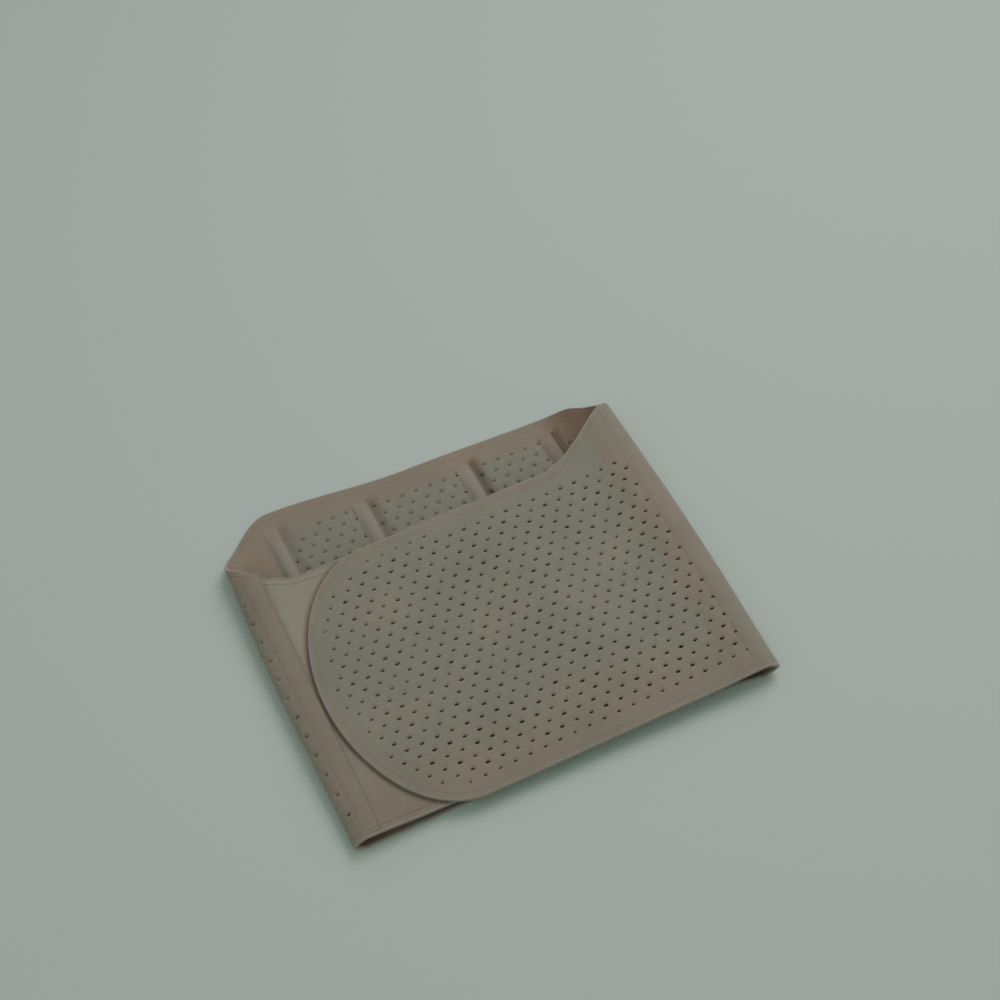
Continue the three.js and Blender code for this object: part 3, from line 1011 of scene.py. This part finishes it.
def make_binding():
    line = edge_line(0.0)
    bm = bmesh.new()
    bmesh.ops.create_grid(bm, x_segments=len(line) - 1, y_segments=EDGE_SIDES, size=0.5)
    half_wide, half_thick = EDGE_WIDE / 2, CLOTH / 2 + EDGE_PROUD
    for vert in bm.verts:
        index = round((vert.co.x + 0.5) * (len(line) - 1))
        before, after = line[max(0, index - 1)], line[min(len(line) - 1, index + 1)]
        run = Vector((after[0] - before[0], after[1] - before[1], 0)).normalized()
        inward = Vector((-run.y, run.x, 0))
        angle = 2 * math.pi * (vert.co.y + 0.5)
        place = Vector((*line[index], 0)) + inward * half_wide * (1 - math.cos(angle))
        vert.co = place + Vector((0, 0, half_thick * math.sin(angle)))
    bmesh.ops.remove_doubles(bm, verts=bm.verts, dist=NEAR / 2)
    bmesh.ops.holes_fill(bm, edges=[edge for edge in bm.edges if edge.is_boundary])
    bmesh.ops.recalc_face_normals(bm, faces=bm.faces)
    nodes = ("top_binding", "bottom_binding")
    finish_piece(bm, "edge_binding", [binding_tape], edge_tones, "binding_tape", *nodes)


make_binding()

# Stitches: short lengths of thread on the cloth's face
STITCH = {"long": 2.1 * MM, "wide": 0.42 * MM, "step": 3.0 * MM, "rise": 0.3 * MM}
INNER_HEM_REACH = 150 * MM
FROM_STAY = 5.9 * MM
FROM_SEAM_TAPE = 0.8 * MM
STAY_MARGIN = 0.42 * MM
STAY_STITCH_INSET = 2 * MM
SEAM_STITCH_ENDS = (4 * MM, 5 * MM)


def stitch_along(bm, single, line, level):
    """Lays stitches along a line of flat places, at a level off the cloth's middle."""
    left_over = 0.0
    for (x0, y0), (x1, y1) in zip(line, line[1:]):
        run = math.hypot(x1 - x0, y1 - y0)
        angle = math.atan2(y1 - y0, x1 - x0)
        at = left_over
        while at < run:
            place = (
                Matrix.Translation((mix(x0, x1, at / run), mix(y0, y1, at / run), level))
                @ Matrix.Rotation(angle, 4, "Z")
                @ Matrix.Diagonal((STITCH["long"] / 2, STITCH["wide"] / 2, STITCH["rise"] / 2, 1))
            )
            stitch = bmesh.new()
            bmesh.ops.create_uvsphere(stitch, u_segments=6, v_segments=4, radius=1, matrix=place)
            stitch.to_mesh(single)
            stitch.free()
            bm.from_mesh(single)
            at += STITCH["step"]
        left_over = at - run


def make_stitches(name, lines, slot):
    bm = bmesh.new()
    single = bpy.data.meshes.new("single_stitch")
    for line, level in lines:
        stitch_along(bm, single, line, level)
    bpy.data.meshes.remove(single)
    finish_piece(bm, name, [thread], edge_tones, slot)


def upright(around, from_bottom, from_top):
    """A line straight up the belt, beside a casing."""
    low = float(bottom_edge(around)) + from_bottom
    high = float(top_edge(around)) - from_top
    return [(around, low), (around, high)]


def inner_hem():
    """The line of the hem's stitches inside the back, from fold to fold."""
    run = places_between(-INNER_HEM_REACH, INNER_HEM_REACH, CONTOUR_SPACING)
    return [(around, float(top_edge(around)) - GROOVE_AT) for around in run]


OUTER_FACE = CLOTH / 2 + 0.02 * MM
stay_ends = (STAY_FROM_BOTTOM + STAY_STITCH_INSET, STAY_FROM_TOP + STAY_STITCH_INSET)
stay_lines = [
    (upright(at + way * FROM_STAY, *stay_ends), -OUTER_FACE - STAY_MARGIN)
    for at in STAYS_AT for way in (-1, 1)
]
seam_lines = [
    (upright(at + way * (wide / 2 + FROM_SEAM_TAPE), *SEAM_STITCH_ENDS), OUTER_FACE)
    for at, wide in ((-FRONT_SEAM_AT, LEFT_SEAM_WIDE), (FRONT_SEAM_AT, RIGHT_SEAM_WIDE)) for way in (-1, 1)
]
make_stitches("hem_stitches", [(edge_line(GROOVE_AT), OUTER_FACE)], "binding_tape")
make_stitches("inner_hem_stitches", [(inner_hem(), -OUTER_FACE)], "binding_tape")
make_stitches("stay_stitches", stay_lines, "casing_tape")
make_stitches("seam_stitches", seam_lines, "casing_tape")


# Floor, light and camera
FLOOR_HALF = 4.0
FLOOR_PAINT = (0.500, 0.610, 0.530, 1)
FLOOR_ROUGHNESS = 0.85
LIGHT_AWAY = 1.6
SKY = (0.90, 0.97, 0.93, 1)
SKY_STRENGTH = 0.39


def make_floor():
    bm = bmesh.new()
    bmesh.ops.create_grid(bm, x_segments=1, y_segments=1, size=FLOOR_HALF)
    mesh = bpy.data.meshes.new("floor")
    bm.to_mesh(mesh)
    bm.free()
    floor = bpy.data.objects.new("floor", mesh)
    bpy.context.scene.collection.objects.link(floor)
    paint = new_material("floor_paint")
    shader = paint.node_tree.nodes["Principled BSDF"]
    shader.inputs["Base Color"].default_value = FLOOR_PAINT
    shader.inputs["Roughness"].default_value = FLOOR_ROUGHNESS
    mesh.materials.append(paint)


make_floor()


def make_light(name, azimuth, elevation, size, power):
    data = bpy.data.lights.new(name, "AREA")
    data.shape = "DISK"
    data.size = size
    data.energy = power
    light = bpy.data.objects.new(name, data)
    bpy.context.scene.collection.objects.link(light)
    a, e = math.radians(azimuth), math.radians(elevation)
    away = Vector((math.sin(a) * math.cos(e), -math.cos(a) * math.cos(e), math.sin(e)))
    light.location = away * LIGHT_AWAY
    light.rotation_mode = "QUATERNION"
    light.rotation_quaternion = away.to_track_quat("Z", "Y")


make_light("key_light", azimuth=120, elevation=56, size=1.1, power=11.5)
make_light("fill_light", azimuth=-60, elevation=50, size=1.6, power=2.5)

world = bpy.data.worlds.new("studio")
bpy.context.scene.world = world
world.use_nodes = True
background = world.node_tree.nodes["Background"]
background.inputs["Color"].default_value = SKY
background.inputs["Strength"].default_value = SKY_STRENGTH

CAMERA = {
    "azimuth": -23.448,
    "elevation": 54.162,
    "roll": -2.752,
    "aim": (50.2 * MM, 210.8 * MM, 0.0),
    "distance": 1382.1 * MM,
    "lens": 68.4,
    "sensor": 36,
}


def make_camera():
    data = bpy.data.cameras.new("camera")
    data.lens = CAMERA["lens"]
    data.sensor_width = CAMERA["sensor"]
    camera = bpy.data.objects.new("camera", data)
    bpy.context.scene.collection.objects.link(camera)
    a, e, r = (math.radians(CAMERA[key]) for key in ("azimuth", "elevation", "roll"))
    back = Vector((math.sin(a) * math.cos(e), -math.cos(a) * math.cos(e), math.sin(e)))
    right = Vector((math.cos(a), math.sin(a), 0))
    up = back.cross(right)
    turned_right = right * math.cos(r) + up * math.sin(r)
    turned_up = up * math.cos(r) - right * math.sin(r)
    camera.matrix_world = Matrix((turned_right, turned_up, back)).transposed().to_4x4()
    camera.location = Vector(CAMERA["aim"]) + Vector(SHIFT) + back * CAMERA["distance"]
    bpy.context.scene.camera = camera


make_camera()
